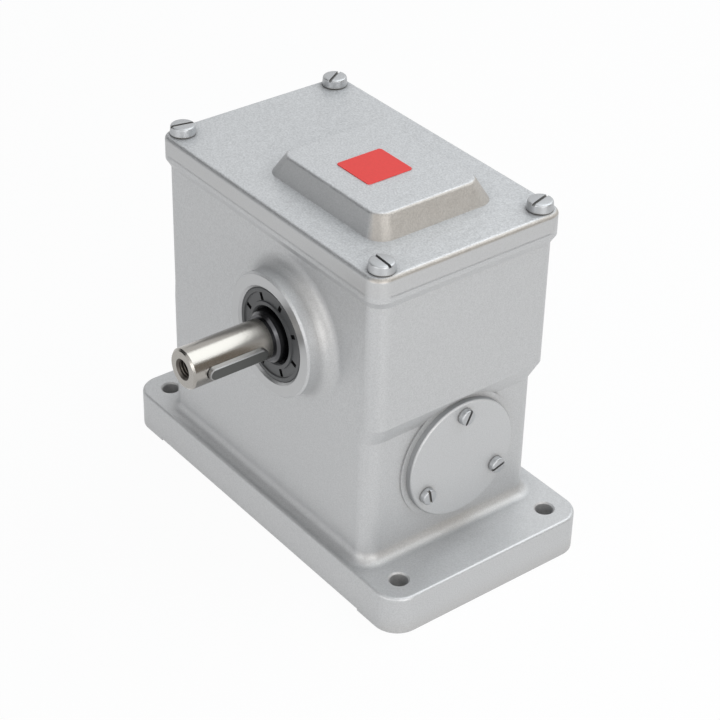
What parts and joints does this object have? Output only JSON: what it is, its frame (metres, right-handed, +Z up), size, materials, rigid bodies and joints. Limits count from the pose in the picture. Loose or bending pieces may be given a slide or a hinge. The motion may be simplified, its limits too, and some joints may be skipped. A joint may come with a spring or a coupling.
{
  "type": "worm gearbox",
  "caption": "Foot-mounted double-worm reduction gearbox with a keyed output shaft and a hollow motor input, in a cast box with a screwed top cover.",
  "frame": {"origin": "centre of the four base bolt holes, on the underside of the feet", "axes": "+X along the long side towards the round bearing cover, -Y the way the output shaft points, +Z up"},
  "size_m": [0.224, 0.1745, 0.1927],
  "materials": {
    "painted_casting": "satin",
    "gasket": "matte",
    "screw_steel": "satin",
    "rubber": "matte",
    "shaft_steel": "polished",
    "bronze": "satin",
    "hub_iron": "matte",
    "bearing_steel": "polished",
    "label": "satin"
  },
  "bodies": {
    "case": {"housing": "painted_casting", "top_cover": "painted_casting", "worm_cover": "painted_casting", "cover_gasket": "gasket", "cover_screws": "screw_steel", "worm_cover_screws": "screw_steel", "worm_cover_ring": "rubber", "rating_label": "label", "output_seal": "rubber", "output_bearing_outers": "bearing_steel", "rear_cap": "rubber", "worm_bearing_outers": "bearing_steel", "input_bearing_outers": "bearing_steel", "input_seal": "rubber", "input_circlip": "screw_steel"},
    "output": {"output_shaft": "shaft_steel", "output_key": "shaft_steel", "wheel_key": "shaft_steel", "worm_wheel_rim": "bronze", "worm_wheel_hub": "hub_iron", "hub_sleeve": "shaft_steel", "output_bearing_inners": "bearing_steel"},
    "intermediate": {"worm_shaft": "shaft_steel", "first_wheel": "bronze", "first_wheel_key": "shaft_steel", "worm_sleeve": "shaft_steel", "worm_bearing_inners": "bearing_steel"},
    "input": {"input_worm": "shaft_steel", "input_bearing_inners": "bearing_steel"}
  },
  "joints": [
    {"name": "output_spin", "type": "hinge", "parent": "case", "child": "output", "pos_m": [0.0215, 0, 0.1255], "axis": [0, 1, 0], "continuous": true},
    {"name": "worm_spin", "type": "hinge", "parent": "case", "child": "intermediate", "pos_m": [0, 0.001, 0.064], "axis": [1, 0, 0], "continuous": true},
    {"name": "input_spin", "type": "hinge", "parent": "case", "child": "input", "pos_m": [-0.045, 0, 0.099], "axis": [0, 1, 0], "continuous": true}
  ],
  "couplings": [
    {"joint": "worm_spin", "follows": "output_spin", "ratio": 40},
    {"joint": "input_spin", "follows": "output_spin", "ratio": 600}
  ]
}
